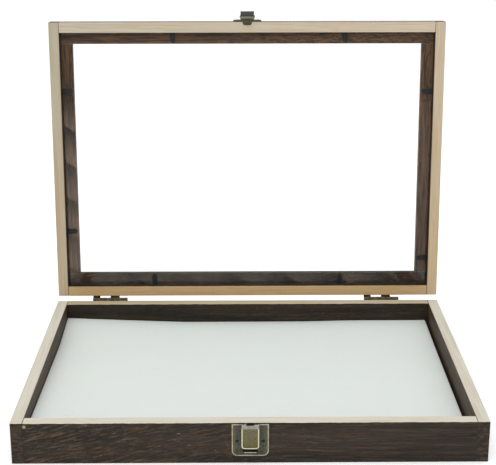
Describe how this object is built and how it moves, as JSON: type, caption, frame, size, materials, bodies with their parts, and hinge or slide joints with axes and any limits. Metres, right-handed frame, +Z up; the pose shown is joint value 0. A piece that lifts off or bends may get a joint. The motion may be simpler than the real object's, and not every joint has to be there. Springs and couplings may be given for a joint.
{
  "type": "coin display tray",
  "caption": "Shallow wooden display case: a padded tray with a glazed lid on two back hinges, held shut by a sprung front clasp.",
  "frame": {"origin": "centre of the tray's underside", "axes": "+X to the right along the front, front faces -Y, +Z up; lid open on its stops"},
  "size_m": [0.375, 0.3117, 0.3155],
  "materials": {
    "stained_wood": "dark brown stain, thin satin lacquer, bare pale wood on the seam faces",
    "panel_board": "plain brown hardboard",
    "pad_fabric": "matte off-white foam with a short smooth nap",
    "antique_brass": "aged brass plating, dark in the hollows and worn bright on the edges",
    "steel_pin": "drawn steel",
    "black_retainer": "black oxide",
    "clear_glass": "clear float glass with a faint green-blue cast"
  },
  "bodies": {
    "tray": {"tray_left_wall": "stained_wood", "tray_right_wall": "stained_wood", "tray_front_wall": "stained_wood", "tray_back_wall": "stained_wood", "tray_bottom_panel": "panel_board", "display_pad": "pad_fabric", "tray_corner_brads": "steel_pin", "left_hinge_tray_leaf": "antique_brass", "right_hinge_tray_leaf": "antique_brass", "left_hinge_pin": "steel_pin", "right_hinge_pin": "steel_pin", "hinge_tray_screws": "antique_brass", "clasp_base_plate": "antique_brass", "clasp_lever_pin": "steel_pin", "clasp_spring": "steel_pin", "clasp_nails": "antique_brass"},
    "lid": {"lid_left_rail": "stained_wood", "lid_right_rail": "stained_wood", "lid_front_rail": "stained_wood", "lid_back_rail": "stained_wood", "lid_glass": "clear_glass", "glass_retainers": "black_retainer", "lid_corner_brads": "steel_pin", "left_hinge_lid_leaf": "antique_brass", "right_hinge_lid_leaf": "antique_brass", "hinge_lid_screws": "antique_brass", "catch_plate": "antique_brass", "catch_nails": "antique_brass"},
    "lever": {"clasp_lever": "antique_brass"}
  },
  "joints": [
    {"name": "lid_hinge", "type": "hinge", "parent": "tray", "child": "lid", "pos_m": [0, 0.1376, 0.035], "axis": [1, 0, 0], "range_deg": [0, 94.1]},
    {"name": "lever_pivot", "type": "hinge", "parent": "tray", "child": "lever", "pos_m": [0, -0.1367, 0.0332], "axis": [-1, 0, 0], "range_deg": [0, 60], "stiffness_Nm_per_rad": 0.01, "springref_deg": -17.19}
  ]
}
